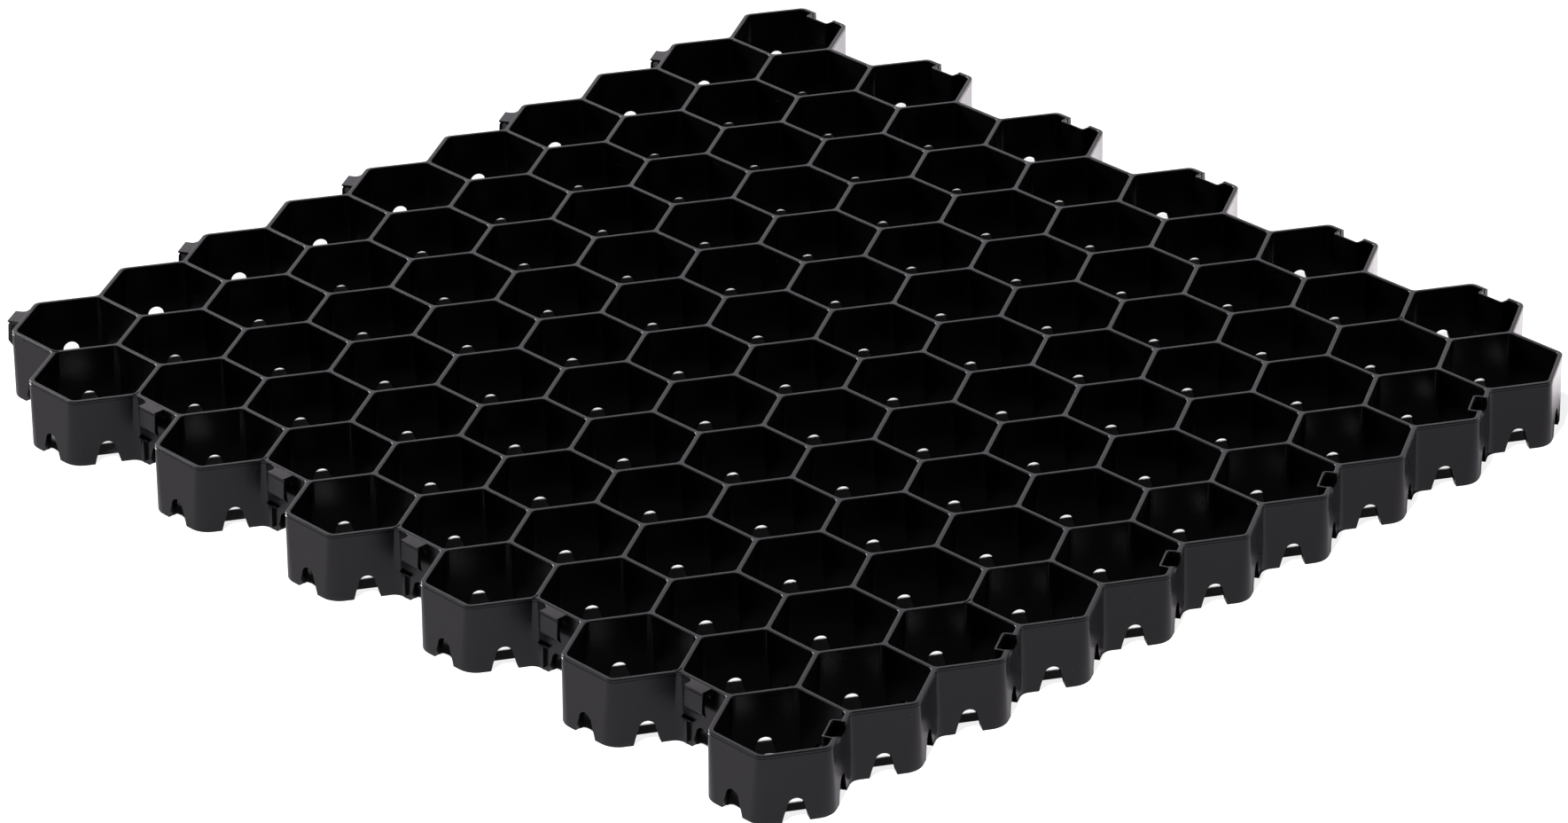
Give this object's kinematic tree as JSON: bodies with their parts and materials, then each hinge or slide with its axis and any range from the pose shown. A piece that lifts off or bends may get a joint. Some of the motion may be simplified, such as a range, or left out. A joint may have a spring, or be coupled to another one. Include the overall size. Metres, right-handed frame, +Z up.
{
  "type": "grass paver grid",
  "caption": "Moulded plastic honeycomb ground grid with arched wall feet, hooks along two sides and matching pockets along the other two.",
  "frame": {"origin": "centre of the base, on the ground that the panel rests on", "axes": "+X along the longer side, across the columns of cells; +Z up, through the cells"},
  "size_m": [0.6456, 0.6342, 0.038],
  "materials": {
    "black_plastic": "moulded black polypropylene, satin, lightly scuffed"
  },
  "bodies": {
    "root": {"paver_grid": "black_plastic"}
  },
  "joints": []
}
